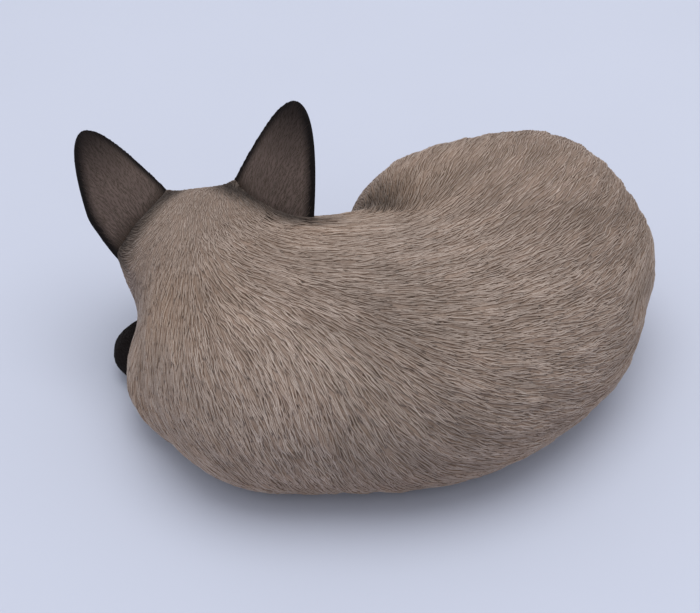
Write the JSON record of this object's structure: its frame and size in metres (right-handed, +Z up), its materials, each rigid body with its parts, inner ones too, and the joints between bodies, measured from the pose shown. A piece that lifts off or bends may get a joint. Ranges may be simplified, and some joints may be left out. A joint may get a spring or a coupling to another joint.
{
  "type": "cat garden statue",
  "caption": "Life-size curled cat garden statue in hollow cast resin with moulded fur, dark ears, feet and tail, and a flat padded base.",
  "frame": {"origin": "middle of the bounding box's footprint, on the ground under the felt pads", "axes": "+X from the head end towards the rump, along the longest extent; +Y the way the cat faces, away from its back; +Z up, the shortest extent"},
  "size_m": [0.351, 0.2772, 0.1632],
  "materials": {
    "coat": "cast resin, moulded fur relief, dark wash in the grooves and a pale dry-brushed fawn on the ridges",
    "seal_points": "cast resin, painted seal brown, low sheen",
    "ear_points": "cast resin, brown-grey with near-black rims",
    "eye_glass": "polished blue glass cabochon",
    "raw_resin": "unpainted resin",
    "plate_resin": "flat cut resin, dull",
    "plug_rubber": "moulded, dull",
    "felt": "pressed felt"
  },
  "bodies": {
    "root": {"body_shell": "coat", "head_shell": "coat", "neck_sleeve": "raw_resin", "ear_left": "ear_points", "ear_right": "ear_points", "eye_left": "eye_glass", "eye_right": "eye_glass", "forepaw_left": "seal_points", "forepaw_right": "seal_points", "hind_paw_left": "seal_points", "hind_paw_right": "seal_points", "tail": "seal_points", "base_plate": "plate_resin", "vent_plug": "plug_rubber", "felt_pad_1": "felt", "felt_pad_2": "felt", "felt_pad_3": "felt", "felt_pad_4": "felt"}
  },
  "joints": []
}
